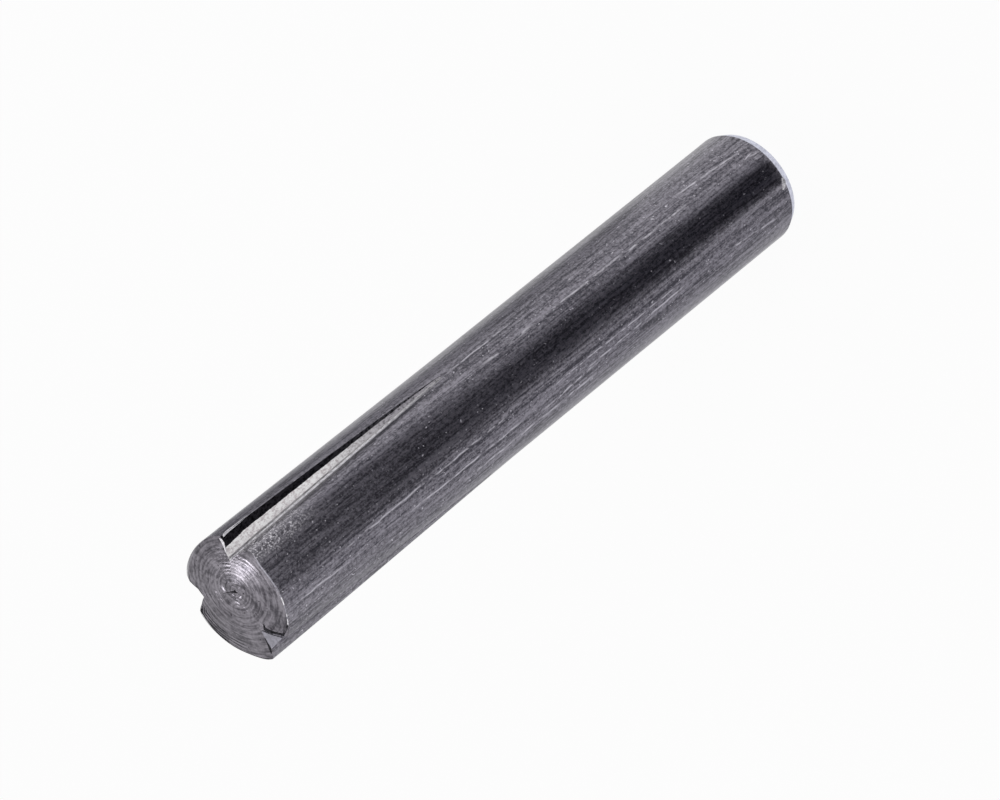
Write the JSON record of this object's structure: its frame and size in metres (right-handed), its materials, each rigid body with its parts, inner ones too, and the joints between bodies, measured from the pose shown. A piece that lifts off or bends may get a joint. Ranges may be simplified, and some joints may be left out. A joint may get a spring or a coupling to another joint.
{
  "type": "grooved pin",
  "caption": "Solid round steel pin with three tapered swaged grooves in its upper half and a plain chamfered lower half.",
  "frame": {"origin": "centre of the flat foot of the plain, chamfered end", "axes": "+Z along the pin's axis, up from the plain end to the grooved end; +Y towards the first groove"},
  "size_m": [0.0062, 0.0061, 0.04],
  "materials": {
    "steel": "bare drawn steel, dark grey, with fine lines along the axis"
  },
  "bodies": {
    "root": {"grooved_pin": "steel"}
  },
  "joints": []
}
